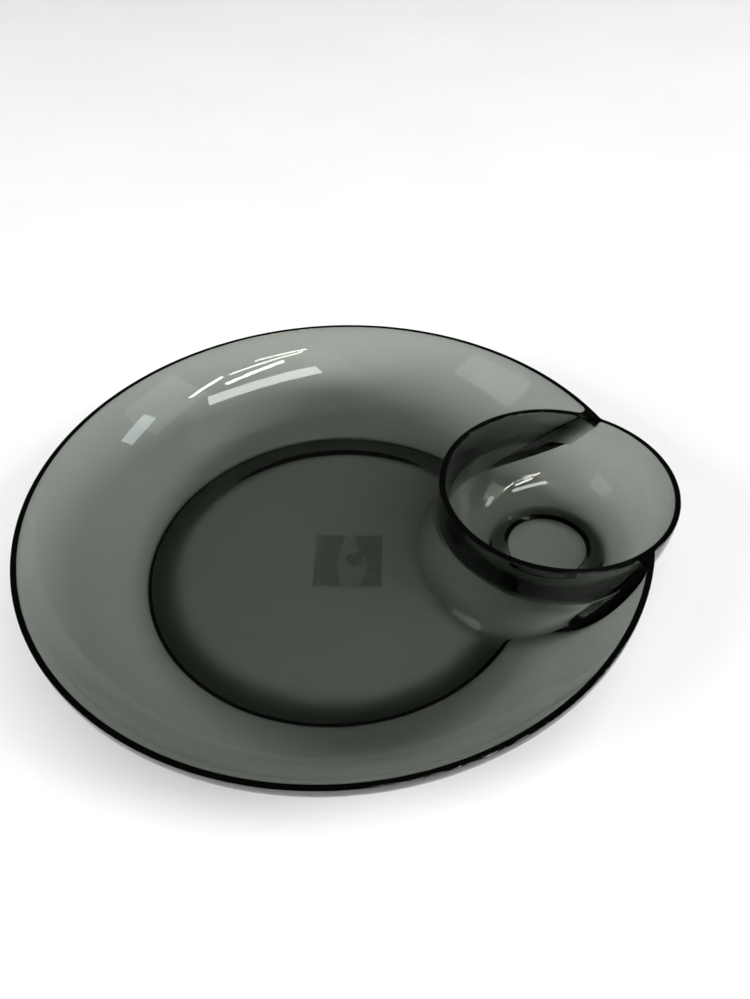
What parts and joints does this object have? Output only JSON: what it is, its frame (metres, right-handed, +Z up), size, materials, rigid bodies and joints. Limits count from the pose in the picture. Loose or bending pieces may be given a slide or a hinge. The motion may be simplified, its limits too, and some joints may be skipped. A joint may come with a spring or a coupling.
{
  "type": "chip and dip server",
  "caption": "Wide round clear smoke-grey plastic bowl for chips with a small round dip cup let into its rim.",
  "frame": {"origin": "on the table, under the middle of the server's length and width", "axes": "+X along the server's length, from the bowl's axis to the cup's axis; +Z up, along both axes"},
  "size_m": [0.342, 0.324, 0.053],
  "materials": {
    "smoke_plastic": "polished transparent smoke grey, see-through",
    "label_film": "thin clear film with adhesive, blank"
  },
  "bodies": {
    "root": {"chip_bowl": "smoke_plastic", "dip_cup": "smoke_plastic", "base_label": "label_film"}
  },
  "joints": []
}
